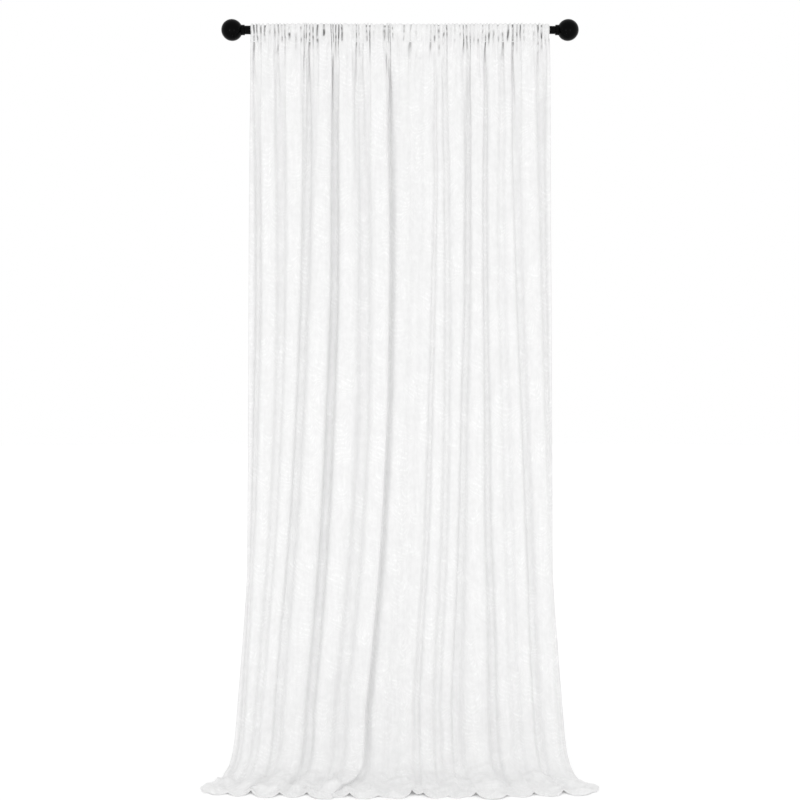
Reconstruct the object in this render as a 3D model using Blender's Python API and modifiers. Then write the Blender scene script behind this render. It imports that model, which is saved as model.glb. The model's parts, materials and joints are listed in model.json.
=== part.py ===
# Curtain panel with a rod pocket, gathered on a telescoping rod that has ball finials.
# Metres, +Z up. X runs along the rod, the front of the curtain faces -Y, and the origin
# is on the rod's axis, halfway between the two finials.

import math

import bmesh
import bpy
from mathutils import Vector

# Rod
TUBE_LENGTH = 0.700
TUBE_END = 0.4655
OUTER_TUBE_RADIUS = 0.0127
OUTER_TUBE_BORE = 0.0121
INNER_TUBE_RADIUS = 0.0118
INNER_TUBE_BORE = 0.0110
SLEEVE_LENGTH = 0.010
INSERT_LENGTH = 0.020
THREAD_BORE = 0.0043
GAP = 0.0003

# Finials
BALL_RADIUS = 0.032
BALL_CENTRE = 0.504
COLLAR_RADIUS = 0.0155
COLLAR_RIM = 0.0015
STUD_RADIUS = 0.0040
STUD_REACH = 0.0185
STUD_IN_BALL = 0.018

# Cloth, hung
HEADING_HALF_WIDTH = 0.4478
POCKET_BORE = 0.0134
POCKET_RADIUS = 0.0215
SEAM_Z = -0.0310
SEAM_DEPTH = 0.0105
FLOOR_Z = -2.220
BEND_RADIUS = 0.055
FOLDS = 10
FOLD_DEPTH = 0.020
FOLD_START = 0.16
DROP_FLARE = 0.030
FLOOR_FLARE = 0.099
FRONT_REACH = 0.280
SCALLOP = 0.006

# Cloth, cut and sewn
CLOTH_WIDTH = 1.320
CLOTH_THICKNESS = 0.0012
HEM_THICKNESS = 0.0020
SIDE_HEM = 0.038
BOTTOM_HEM = 0.075
SEAM_GAP = 0.0010
THREAD_RADIUS = 0.0005
LABEL_THICKNESS = 0.0006

# Detail of the solids
ROUND_STEPS = 32
COLUMNS = 56
DROP_ROWS = 11
BEND_ROWS = 3
FLOOR_ROWS = 3

COLOURS = {
    "black_metal": ((0.018, 0.018, 0.019), 0.34, 0.6),
    "zinc": ((0.55, 0.56, 0.57), 0.35, 1.0),
    "black_plastic": ((0.03, 0.03, 0.032), 0.5, 0.0),
    "cloth": ((0.86, 0.86, 0.85), 0.7, 0.0),
    "hem": ((0.82, 0.82, 0.81), 0.75, 0.0),
    "thread": ((0.80, 0.80, 0.79), 0.6, 0.0),
    "label": ((0.78, 0.78, 0.76), 0.55, 0.0),
}


def clear_scene():
    for obj in list(bpy.data.objects):
        bpy.data.objects.remove(obj, do_unlink=True)


def material_for(name, kind):
    colour, roughness, metallic = COLOURS[kind]
    material = bpy.data.materials.new(name)
    material.use_nodes = True
    shader = material.node_tree.nodes["Principled BSDF"]
    shader.inputs["Base Color"].default_value = (*colour, 1.0)
    shader.inputs["Roughness"].default_value = roughness
    shader.inputs["Metallic"].default_value = metallic
    material.diffuse_color = (*colour, 1.0)
    return material


def add_object(name, data, kind, parts):
    obj = bpy.data.objects.new(name, data)
    obj.data.materials.append(material_for(name, kind))
    parts.objects.link(obj)
    return obj


def turned(name, profile, kind, parts, facing=1):
    """A piece turned about the rod's axis. Its profile is (x, radius) pairs that run round
    the section once, with the outer side taken towards +X. With facing -1 it is built
    turned end for end."""
    mesh = bpy.data.meshes.new(name)
    section = bmesh.new()
    corners = [section.verts.new((radius, 0, -x)) for x, radius in profile]
    for first, second in zip(corners, corners[1:]):
        section.edges.new((first, second))
    if min(profile[0][1], profile[-1][1]) > 0:
        section.edges.new((corners[-1], corners[0]))
    section.to_mesh(mesh)
    section.free()
    obj = add_object(name, mesh, kind, parts)
    screw = obj.modifiers.new("Screw", "SCREW")
    screw.steps = ROUND_STEPS
    screw.render_steps = ROUND_STEPS
    screw.use_merge_vertices = True
    screw.merge_threshold = 0.00001
    screw.use_smooth_shade = True
    obj.rotation_euler = (0, -math.pi / 2 * facing, 0)
    return obj


def on_body(pieces, empty_name, place, parts):
    """Parents the pieces to an empty on their joint's axis, and leaves them where they are."""
    empty = bpy.data.objects.new(empty_name, None)
    empty.location = place
    parts.objects.link(empty)
    for piece in pieces:
        piece.parent = empty
        piece.matrix_parent_inverse = empty.matrix_basis.inverted()


def tube_profile(start, end, outer, bore):
    return [(start, outer), (end, outer), (end, bore), (start, bore)]


def ball_surface(radius, gap=0.0):
    """How far along the rod the inner half of the ball is, at this radius from the axis."""
    return BALL_CENTRE - math.sqrt((BALL_RADIUS + gap) ** 2 - radius**2)


def collar_profile():
    inner = STUD_RADIUS + GAP
    start = TUBE_END + GAP
    face = ball_surface(COLLAR_RADIUS, GAP)
    profile = [(start, COLLAR_RADIUS - COLLAR_RIM)]
    profile.append((start + COLLAR_RIM, COLLAR_RADIUS))
    profile.append((face - COLLAR_RIM / 2, COLLAR_RADIUS))
    for step in range(5):
        radius = COLLAR_RADIUS + (inner - COLLAR_RADIUS) * (step + 0.6) / 4.6
        profile.append((ball_surface(radius, 1.6 * GAP), radius))
    profile.append((start, inner))
    return profile


def ball_profile():
    bore = STUD_RADIUS + GAP
    bore_end = ball_surface(bore) + STUD_IN_BALL + GAP
    first = math.asin(bore / BALL_RADIUS)
    steps = 14
    profile = []
    for step in range(steps + 1):
        angle = first + (math.pi - first) * step / steps
        along = BALL_CENTRE - BALL_RADIUS * math.cos(angle)
        profile.append((along, max(0.0, BALL_RADIUS * math.sin(angle))))
    profile[-1] = (BALL_CENTRE + BALL_RADIUS, 0.0)
    return [(bore_end, 0.0), (bore_end, bore)] + profile


def make_rod(parts):
    start = -TUBE_END
    step = start + TUBE_LENGTH
    outer = tube_profile(start, step, OUTER_TUBE_RADIUS, OUTER_TUBE_BORE)
    turned("rod_outer_tube", outer, "black_metal", parts)
    sleeve = [
        (step + GAP, OUTER_TUBE_RADIUS),
        (step + 0.7 * SLEEVE_LENGTH, OUTER_TUBE_RADIUS),
        (step + SLEEVE_LENGTH, OUTER_TUBE_BORE + GAP),
        (step + SLEEVE_LENGTH, OUTER_TUBE_BORE),
        (step + GAP, OUTER_TUBE_BORE),
    ]
    turned("tube_step_sleeve", sleeve, "black_plastic", parts)
    inner = tube_profile(TUBE_END - TUBE_LENGTH, TUBE_END, INNER_TUBE_RADIUS, INNER_TUBE_BORE)
    moving = [turned("rod_inner_tube", inner, "black_metal", parts)]
    for side, facing, radius in (("left", -1, OUTER_TUBE_BORE), ("right", 1, INNER_TUBE_BORE)):
        profile = tube_profile(TUBE_END - INSERT_LENGTH, TUBE_END, radius - GAP, THREAD_BORE)
        insert = turned(f"end_insert_{side}", profile, "zinc", parts, facing)
        if side == "right":
            moving.append(insert)
    on_body(moving, "rod_extension_axis", (0, 0, 0), parts)


def make_finial(side, facing, parts):
    collar = turned(f"finial_{side}_collar", collar_profile(), "black_metal", parts, facing)
    on_body([collar], f"finial_{side}_travel_axis", (facing * TUBE_END, 0, 0), parts)
    ball = turned(f"finial_{side}_ball", ball_profile(), "black_metal", parts, facing)
    stud_start = TUBE_END - STUD_REACH
    stud_end = ball_surface(THREAD_BORE) + STUD_IN_BALL
    profile = [(stud_start, 0.0), (stud_start, STUD_RADIUS), (stud_end, STUD_RADIUS), (stud_end, 0.0)]
    stud = turned(f"finial_{side}_stud", profile, "zinc", parts, facing)
    on_body([ball, stud], f"finial_{side}_turn_axis", (facing * BALL_CENTRE, 0, 0), parts)


DROP = SEAM_Z - FLOOR_Z - BEND_RADIUS
BEND = BEND_RADIUS * math.pi / 2
HALF_HEM_WIDTH = HEADING_HALF_WIDTH + DROP_FLARE + FLOOR_FLARE
HEM_ROW = 3 - BOTTOM_HEM / (FRONT_REACH - BEND_RADIUS)


def eased(value):
    value = min(1.0, max(0.0, value))
    return value * value * (3 - 2 * value)


def front_edge(x):
    """How far in front of the rod the hem lies on the floor."""
    share = abs(x) / HALF_HEM_WIDTH
    return FRONT_REACH - 0.045 * share**2 - 0.090 * share**12


def half_width(row):
    """Half of the panel's width: it flares a little down the drop and more on the floor."""
    drop = DROP_FLARE * min(row, 1) ** 2
    floor = FLOOR_FLARE * eased((row - 0.9) / 1.6)
    return HEADING_HALF_WIDTH + drop + floor


def cloth_point(across, row, thickness):
    """The middle of the cloth. across is 0 at the left edge and 1 at the right edge. row is
    0 to 1 down the drop, 1 to 2 round the bend, and 2 to 3 along the floor to the front."""
    x = half_width(row) * (2 * across - 1)
    wave = math.cos(2 * math.pi * FOLDS * across)
    depth = FOLD_DEPTH * eased(DROP * row / FOLD_START) * (1 - 0.3 * min(row, 1)) * wave
    bottom = FLOOR_Z + thickness / 2
    if row <= 1:
        return Vector((x, -depth, SEAM_Z - GAP - DROP * row))
    if row <= 2:
        turn = (row - 1) * math.pi / 2
        radius = BEND_RADIUS - depth * math.cos(turn)
        forward = BEND_RADIUS - radius * math.cos(turn)
        return Vector((x, -forward, bottom + BEND_RADIUS * (1 - math.sin(turn))))
    along = row - 2
    forward = BEND_RADIUS + (front_edge(x) + SCALLOP * wave - BEND_RADIUS) * along
    return Vector((x, -forward, bottom))


def cloth_front(across, row, thickness):
    """The direction that the front of the cloth faces, which is up where it lies."""
    step = 0.001
    right = cloth_point(across + step, row, thickness) - cloth_point(across - step, row, thickness)
    down = cloth_point(across, row + step, thickness) - cloth_point(across, row - step, thickness)
    return down.cross(right).normalized()


def rows_between(first, last):
    rows = [step / DROP_ROWS for step in range(DROP_ROWS)]
    rows += [1 + step / BEND_ROWS for step in range(BEND_ROWS)]
    rows += [2 + step / FLOOR_ROWS for step in range(FLOOR_ROWS)]
    return [first] + [row for row in rows if first + 0.01 < row < last - 0.01] + [last]


def columns_between(first, last, count):
    return [first + (last - first) * step / count for step in range(count + 1)]


def cloth_piece(name, columns, rows, thickness, kind, parts, lift=0.0):
    """A stretch of the cloth as one solid sheet. lift moves it to the front of the cloth."""
    grid = bmesh.new()
    bmesh.ops.create_grid(grid, x_segments=len(columns) - 1, y_segments=len(rows) - 1, size=1)
    for vert in grid.verts:
        across = columns[round((vert.co.x + 1) / 2 * (len(columns) - 1))]
        row = rows[round((1 - vert.co.y) / 2 * (len(rows) - 1))]
        vert.co = cloth_point(across, row, thickness) + cloth_front(across, row, thickness) * lift
    mesh = bpy.data.meshes.new(name)
    grid.to_mesh(mesh)
    grid.free()
    mesh.shade_smooth()
    obj = add_object(name, mesh, kind, parts)
    solid = obj.modifiers.new("Solidify", "SOLIDIFY")
    solid.thickness = thickness
    solid.offset = 0
    return obj


def stitched_line(name, points, parts):
    """A row of stitching, as one thin closed tube."""
    curve = bpy.data.curves.new(name, "CURVE")
    curve.dimensions = "3D"
    curve.bevel_depth = THREAD_RADIUS
    curve.bevel_resolution = 0
    curve.use_fill_caps = True
    spline = curve.splines.new("POLY")
    spline.points.add(len(points) - 1)
    for point, place in zip(spline.points, points):
        point.co = (*place, 1.0)
    return add_object(name, curve, "thread", parts)


def on_the_front(across, row):
    lift = HEM_THICKNESS / 2 + GAP + THREAD_RADIUS
    middle = cloth_point(across, row, HEM_THICKNESS)
    return middle + cloth_front(across, row, HEM_THICKNESS) * lift


def make_pocket(parts):
    """The rod pocket: a sleeve of gathered cloth that narrows to the seam below the rod."""
    curve = bpy.data.curves.new("rod_pocket", "CURVE")
    curve.dimensions = "2D"
    curve.fill_mode = "BOTH"
    curve.extrude = HEADING_HALF_WIDTH
    tangent = math.asin((POCKET_RADIUS - SEAM_DEPTH / 2) / -SEAM_Z)
    turns = 20
    outline = []
    for step in range(turns + 1):
        angle = -tangent + (math.pi + 2 * tangent) * step / turns
        outline.append((POCKET_RADIUS * math.cos(angle), POCKET_RADIUS * math.sin(angle)))
    outline.append((-SEAM_DEPTH / 2, SEAM_Z))
    outline.append((SEAM_DEPTH / 2, SEAM_Z))
    hole = []
    for step in range(ROUND_STEPS):
        angle = 2 * math.pi * step / ROUND_STEPS
        hole.append((POCKET_BORE * math.cos(angle), POCKET_BORE * math.sin(angle)))
    for loop in (outline, hole):
        spline = curve.splines.new("POLY")
        spline.points.add(len(loop) - 1)
        spline.use_cyclic_u = True
        for point, (depth, height) in zip(spline.points, loop):
            point.co = (depth, height, 0, 1)
    pocket = add_object("rod_pocket", curve, "cloth", parts)
    pocket.rotation_euler = (math.pi / 2, 0, math.pi / 2)
    shoulder = Vector((math.cos(tangent), -math.sin(tangent))) * POCKET_RADIUS
    slope = (shoulder.x - SEAM_DEPTH / 2) / (shoulder.y - SEAM_Z)
    seam_z = SEAM_Z + 2 * THREAD_RADIUS
    seam_y = -(SEAM_DEPTH / 2 + 3 * THREAD_RADIUS * slope + 2 * GAP + THREAD_RADIUS)
    ends = [Vector((side * (HEADING_HALF_WIDTH - 0.002), seam_y, seam_z)) for side in (-1, 1)]
    return [pocket, stitched_line("pocket_stitching", ends, parts)]


def make_panel(parts):
    """The hanging panel with its side hems and its bottom hem, and the stitching of each."""
    hem = SIDE_HEM / CLOTH_WIDTH
    gap = SEAM_GAP / (2 * HEADING_HALF_WIDTH)
    row_gap = SEAM_GAP / (FRONT_REACH - BEND_RADIUS)
    rows = rows_between(0, HEM_ROW - row_gap)
    middle = columns_between(hem, 1 - hem, COLUMNS)
    edges = {
        "left": columns_between(0, hem - gap, 3),
        "right": columns_between(1 - hem + gap, 1, 3),
    }

    pieces = [cloth_piece("panel_cloth", middle, rows, CLOTH_THICKNESS, "cloth", parts)]
    whole = edges["left"][:-1] + middle + edges["right"][1:]
    bottom_rows = [HEM_ROW, (HEM_ROW + 3) / 2, 3]
    pieces.append(cloth_piece("bottom_hem", whole, bottom_rows, HEM_THICKNESS, "hem", parts))
    line = [on_the_front(across, HEM_ROW + 2 * row_gap) for across in whole[1:-1]]
    pieces.append(stitched_line("bottom_stitching", line, parts))

    side_pieces = {}
    for side, columns in edges.items():
        strip = cloth_piece(f"side_hem_{side}", columns, rows, HEM_THICKNESS, "hem", parts)
        inner = columns[2] if side == "left" else columns[1]
        line = [on_the_front(inner, row) for row in rows[1:-1]]
        side_pieces[side] = [strip, stitched_line(f"side_stitching_{side}", line, parts)]

    label_columns = edges["left"][1:3]
    label_rows = [(DROP_ROWS - 1 + share) / DROP_ROWS for share in (0.2, 0.45)]
    behind = -(HEM_THICKNESS + LABEL_THICKNESS) / 2 - 3 * GAP
    label = cloth_piece(
        "care_label", label_columns, label_rows, LABEL_THICKNESS, "label", parts, behind
    )
    return pieces + side_pieces["left"] + [label], side_pieces["right"]


def main():
    clear_scene()
    parts = bpy.data.collections.new("curtain_panel")
    bpy.context.scene.collection.children.link(parts)
    make_rod(parts)
    make_finial("left", -1, parts)
    make_finial("right", 1, parts)
    heading = make_pocket(parts)
    panel, leading_edge = make_panel(parts)
    on_body(heading + panel, "curtain_slide_axis", (0, 0, 0), parts)
    on_body(leading_edge, "leading_edge_slide_axis", (HEADING_HALF_WIDTH, 0, 0), parts)


main()
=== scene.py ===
import json
import math

import bmesh
import bpy
import numpy as np
from mathutils import Matrix, Vector


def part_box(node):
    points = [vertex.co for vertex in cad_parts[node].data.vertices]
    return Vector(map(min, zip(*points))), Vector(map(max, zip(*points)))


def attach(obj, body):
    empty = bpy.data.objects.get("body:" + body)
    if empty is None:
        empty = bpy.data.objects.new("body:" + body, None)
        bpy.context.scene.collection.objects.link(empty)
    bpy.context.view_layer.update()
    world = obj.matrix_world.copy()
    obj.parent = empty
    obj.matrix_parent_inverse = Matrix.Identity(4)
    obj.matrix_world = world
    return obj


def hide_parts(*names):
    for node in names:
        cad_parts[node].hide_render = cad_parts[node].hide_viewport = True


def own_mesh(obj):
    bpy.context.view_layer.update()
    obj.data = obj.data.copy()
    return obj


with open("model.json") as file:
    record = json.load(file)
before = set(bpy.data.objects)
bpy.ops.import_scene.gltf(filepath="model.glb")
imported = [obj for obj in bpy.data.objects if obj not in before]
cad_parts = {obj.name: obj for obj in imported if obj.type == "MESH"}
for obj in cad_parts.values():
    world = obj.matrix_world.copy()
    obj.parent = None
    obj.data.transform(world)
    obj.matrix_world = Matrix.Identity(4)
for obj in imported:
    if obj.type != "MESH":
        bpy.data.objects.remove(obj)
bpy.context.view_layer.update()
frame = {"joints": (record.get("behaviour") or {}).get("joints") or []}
print("frame loaded")

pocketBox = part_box("rod_pocket")
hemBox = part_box("bottom_hem")
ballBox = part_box("finial_right_ball")
headingHalf = pocketBox[1][0]
seamAbove = 0.001  # the seam's height above the pocket's lowest edge
seamZ = pocketBox[0][2] + seamAbove
floorZ = hemBox[0][2]
drawTo = abs(next(j for j in frame["joints"] if j["name"] == "curtain_draw")["range_m"][0])
drawKeep = 1 - drawTo / (2 * headingHalf)


# Shader building

class Wire:
    # a socket that arithmetic can be written on
    def __init__(self, finish, socket):
        self.finish = finish
        self.socket = socket

    def maths(self, operation, first, second):
        return self.finish.node("Math", {"operation": operation}, {0: first, 1: second})

    def __add__(self, other):
        return self.maths("ADD", self, other)

    def __radd__(self, other):
        return self.maths("ADD", other, self)

    def __sub__(self, other):
        return self.maths("SUBTRACT", self, other)

    def __rsub__(self, other):
        return self.maths("SUBTRACT", other, self)

    def __mul__(self, other):
        return self.maths("MULTIPLY", self, other)

    def output(self, name):
        return Wire(self.finish, self.socket.node.outputs[name])


class Finish:
    # one material, with a Principled shader whose even values are set on its own sockets
    def __init__(self, name, shown, **even):
        self.material = bpy.data.materials.new(name)
        self.material.use_nodes = True
        self.material.diffuse_color = (*shown, 1)
        self.tree = self.material.node_tree
        self.shader = self.tree.nodes["Principled BSDF"]
        self.shader.inputs["Base Color"].default_value = (*shown, 1)
        for socket, value in even.items():
            self.shader.inputs[socket.replace("_", " ")].default_value = value

    def put(self, socket, value):
        if isinstance(value, Wire):
            self.tree.links.new(value.socket, socket)
        else:
            socket.default_value = value

    def node(self, kind, settings=None, sockets=None, output=0):
        made = self.tree.nodes.new("ShaderNode" + kind)
        for name, value in (settings or {}).items():
            if name == "stops":
                for stop, (place, shade) in zip(made.color_ramp.elements, value):
                    stop.position = place
                    stop.color = (shade, shade, shade, 1)
            else:
                setattr(made, name, value)
        for name, value in (sockets or {}).items():
            self.put(made.inputs[name], value)
        return Wire(self, made.outputs[output])

    def ramp(self, value, low, high):
        # 0 below low, 1 above high
        stops = {"stops": [(low, 0.0), (high, 1.0)]}
        return self.node("ValToRGB", stops, {"Fac": value})

    def blend(self, share, first, second):
        first = first if isinstance(first, Wire) else (*first, 1)
        settings = {"data_type": "RGBA"}
        return self.node("Mix", settings, {0: share, 6: first, 7: (*second, 1)}, 2)

    def noise(self, place, scale, detail=2.0):
        return self.node("TexNoise", {}, {"Vector": place, "Scale": scale, "Detail": detail})

    def placed(self, scale=(1, 1, 1), coordinates="Object"):
        source = self.node("TexCoord", {}, {}, coordinates)
        return self.node("Mapping", {}, {"Vector": source, "Scale": scale})

    def finishWith(self, **changing):
        for socket, value in changing.items():
            self.put(self.shader.inputs[socket.replace("_", " ")], value)
        return self.material

    def bump(self, height, distance):
        return self.node("Bump", {}, {"Height": height, "Distance": distance, "Strength": 1.0})


# Fabric: white jacquard whose satin figure is nested arcs, stacked in wandering lanes down the cloth

jacquard = dict(
    ground=(0.785, 0.785, 0.785),
    figure=(0.925, 0.925, 0.925),
    shadow=(0.11, 0.11, 0.11),
    sheen=0.1,
    sheenRoughness=0.4,
    roughness=0.70,
    satinGloss=0.32,
    arcsPerMetre=68,
    laneWidth=0.088,
    laneDip=9.0,
    laneWander=2.4,
    laneFade=3.0,
    patchScale=(12.0, 8.0, 1),
    wander=5.5,
    strokeRange=(0.40, 0.95),
    bloomShare=0.88,
    figureRelief=0.0006,
    cloudRelief=0.3,
    threadRelief=0.05,
    weaveScale=85,
    weaveDistortion=0.4,
)

# each kind of patch: how many per metre across and down, its detail, where it starts and where it is full
patches = dict(
    feather=((190, 60, 1), 2.0, 0.40, 0.60),
    bloom=((15, 11, 1), 2.0, 0.43, 0.60),
    streaks=((110, 9, 1), 2.0, 0.42, 0.74),
    cloudy=((75, 48, 1), 3.0, 0.36, 0.68),
)

# how much each part of the pattern lightens the ground
lightening = dict(figure=0.62, bloom=0.12, cloudy=0.26, streaks=0.20)


def jacquardFinish():
    spec = jacquard
    cloth = Finish(
        "jacquardCloth", spec["ground"], Sheen_Weight=spec["sheen"], Sheen_Roughness=spec["sheenRoughness"]
    )
    flat = cloth.placed(coordinates="UV")
    parts = cloth.node("SeparateXYZ", {}, {"Vector": flat})
    wander = cloth.noise(cloth.placed(spec["patchScale"], "UV"), 1.0, 1.0)
    lanes = parts.output("X") * (1 / spec["laneWidth"]) + wander * spec["laneWander"]
    lane = cloth.node("Math", {"operation": "FRACT"}, {0: lanes}) - 0.5
    aside = lane * lane
    arcs = parts.output("Y") * spec["arcsPerMetre"] + aside * spec["laneDip"] + wander * spec["wander"]
    wave = cloth.node("Math", {"operation": "SINE"}, {0: arcs * (2 * math.pi)})
    stroke = cloth.ramp(wave * 0.5 + 0.5, *spec["strokeRange"])
    feather, bloom, streaks, cloudy = (
        cloth.ramp(cloth.noise(cloth.placed(scale, "UV"), 1.0, detail), low, high)
        for scale, detail, low, high in patches.values()
    )
    bloomed = (1 - spec["bloomShare"]) + bloom * spec["bloomShare"]
    figure = stroke * feather * bloomed * (1 - aside * spec["laneFade"])
    sockets = {"Vector": flat, "Scale": spec["weaveScale"], "Distortion": spec["weaveDistortion"]}
    threads = cloth.node("TexWave", {"bands_direction": "X"}, sockets)
    share = figure * lightening["figure"] + bloom * lightening["bloom"]
    share = share + cloudy * lightening["cloudy"] + streaks * lightening["streaks"]
    # painted shade: where the gatherShade attribute is set, the cloth's colour is blended towards the
    # shadow colour in the slits between the gathers
    paintedGatherShade = cloth.node("Attribute", {"attribute_name": "gatherShade"}, {}, "Fac")
    woven = cloth.blend(share, spec["ground"], spec["figure"])
    colour = cloth.blend(paintedGatherShade, woven, spec["shadow"])
    height = figure + cloudy * spec["cloudRelief"] + threads * spec["threadRelief"]
    relief = cloth.bump(height, spec["figureRelief"])
    roughness = spec["roughness"] - share * spec["satinGloss"]
    return cloth.finishWith(Base_Color=colour, Roughness=roughness, Normal=relief)


sewingThread = dict(
    even=(0.88, 0.88, 0.875),
    dark=(0.80, 0.80, 0.795),
    light=(0.92, 0.92, 0.915),
    roughness=0.5,
    twistScale=900.0,
    relief=0.0001,
)


def threadFinish():
    spec = sewingThread
    thread = Finish("sewingThread", spec["even"], Roughness=spec["roughness"])
    sockets = {"Vector": thread.placed(), "Scale": spec["twistScale"]}
    twist = thread.node("TexWave", {"bands_direction": "DIAGONAL"}, sockets)
    colour = thread.blend(twist, spec["dark"], spec["light"])
    return thread.finishWith(Base_Color=colour, Normal=thread.bump(twist, spec["relief"]))


labelTape = dict(
    even=(0.85, 0.85, 0.83),
    dark=(0.76, 0.76, 0.74),
    light=(0.88, 0.88, 0.86),
    roughness=0.45,
    weaveScale=600.0,
    weaveShare=0.6,
    cloudScale=180.0,
    cloudShare=0.4,
    relief=0.00006,
)


def labelFinish():
    spec = labelTape
    tape = Finish("labelTape", spec["even"], Roughness=spec["roughness"])
    sockets = {"Vector": tape.placed(), "Scale": spec["weaveScale"]}
    weave = tape.node("TexWave", {"bands_direction": "Z"}, sockets)
    cloudy = tape.noise(tape.placed(), spec["cloudScale"])
    share = weave * spec["weaveShare"] + cloudy * spec["cloudShare"]
    colour = tape.blend(share, spec["dark"], spec["light"])
    return tape.finishWith(Base_Color=colour, Normal=tape.bump(weave, spec["relief"]))


# black paint, resin and plastic: colour and roughness vary a little with wear and with fine flecks
blackSurface = dict(
    specular=0.045,
    wearScale=70.0,
    wearRange=(0.45, 0.75),
    detail=3.0,
    lighter=1.8,
    lift=0.0005,
    wearColour=0.35,
    fleckColour=0.2,
    wearRoughness=0.07,
    fleckRoughness=0.04,
    relief=0.00006,
)


def blackFinish(name, colour, roughness, fleckScale):
    spec = blackSurface
    paint = Finish(name, colour, Specular_IOR_Level=spec["specular"])
    fleck = paint.noise(paint.placed(), fleckScale, spec["detail"])
    worn = paint.ramp(paint.noise(paint.placed(), spec["wearScale"], spec["detail"]), *spec["wearRange"])
    lighter = tuple(value * spec["lighter"] + spec["lift"] for value in colour)
    share = worn * spec["wearColour"] + fleck * spec["fleckColour"]
    return paint.finishWith(
        Base_Color=paint.blend(share, colour, lighter),
        Roughness=roughness + worn * spec["wearRoughness"] + fleck * spec["fleckRoughness"],
        Normal=paint.bump(fleck, spec["relief"]),
    )


platedZinc = dict(
    even=(0.55, 0.56, 0.57),
    dark=(0.46, 0.47, 0.49),
    light=(0.66, 0.66, 0.67),
    streakScale=(30, 220, 220),
    detail=3.0,
    roughness=0.28,
    streakRoughness=0.2,
)


def zincFinish():
    spec = platedZinc
    zinc = Finish("platedZinc", spec["even"], Metallic=1.0)
    streaks = zinc.noise(zinc.placed(spec["streakScale"]), 1.0, spec["detail"])
    colour = zinc.blend(streaks, spec["dark"], spec["light"])
    roughness = spec["roughness"] + streaks * spec["streakRoughness"]
    return zinc.finishWith(Base_Color=colour, Roughness=roughness)


finishes = {
    "cloth": jacquardFinish(),
    "thread": threadFinish(),
    "label": labelFinish(),
    "rod": blackFinish("satinBlackPaint", (0.0012, 0.0012, 0.0013), 0.22, 900.0),
    "finial": blackFinish("satinBlackResin", (0.0008, 0.0008, 0.0009), 0.17, 600.0),
    "sleeve": blackFinish("blackSleevePlastic", (0.006, 0.006, 0.0065), 0.40, 1500.0),
    "zinc": zincFinish(),
}
print("finishes made")


# Making meshes

def rest(mesh, name, finish, slot, body, *nodes):
    # a finished piece: its finish, the body it rides on and the nodes it stands for; slot is not used
    piece = bpy.data.objects.new(name, mesh)
    bpy.context.scene.collection.objects.link(piece)
    mesh.materials.append(finishes[finish])
    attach(piece, body)
    if nodes:
        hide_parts(*nodes)
    return piece


latticeSize = 97
latticeStart = (40.37, 11.61)


def softNoise(across, along, grain, seed):
    # smooth random values from -1 to 1, with grain the size of a patch both ways
    size = latticeSize
    lattice = np.random.RandomState(seed).uniform(-1, 1, (size, size))
    column = across / grain[0] + latticeStart[0]
    row = along / grain[1] + latticeStart[1]
    c = np.floor(column).astype(int)
    r = np.floor(row).astype(int)
    fc = (column - c) ** 2 * (3 - 2 * (column - c))
    fr = (row - r) ** 2 * (3 - 2 * (row - r))
    upper = lattice[r % size, c % size] * (1 - fc) + lattice[r % size, (c + 1) % size] * fc
    lower = lattice[(r + 1) % size, c % size] * (1 - fc) + lattice[(r + 1) % size, (c + 1) % size] * fc
    return upper * (1 - fr) + lower * fr


# what varies at random along the cloth: how much, the grain across and down, and the seed
variations = dict(
    foldWander=(0.0035, (1.0, 0.33), 5),
    gatherSpacing=(2.2, (0.06, 1.0), 11),
    gatherBend=(0.7, (0.035, 0.11), 12),
    gatherLength=(1.0, (0.028, 1.0), 13),
    gatherSize=(0.4, (0.018, 0.03), 14),
    pocketBend=(0.9, (0.020, 0.03), 15),
    undulation=(0.010, (0.33, 0.8), 21),
    wrinkle=(0.0012, (0.045, 0.16), 22),
    fineWrinkle=(0.0006, (0.02, 0.05), 23),
    crumple=(1.0, (0.036, 0.030), 24),
    fineCrumple=(0.5, (0.016, 0.015), 25),
    pucker=(0.0012, (0.009, 0.022), 31),
    slitPatch=(0.8, (0.045, 0.05), 33),
    fineSlitPatch=(0.8, (0.007, 0.010), 34),
)


def varied(name, across, along):
    amount, grain, seed = variations[name]
    return amount * softNoise(across, along, grain, seed)


def eased(value, low, high):
    share = np.clip((value - low) / (high - low), 0, 1)
    return share * share * (3 - 2 * share)


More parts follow.
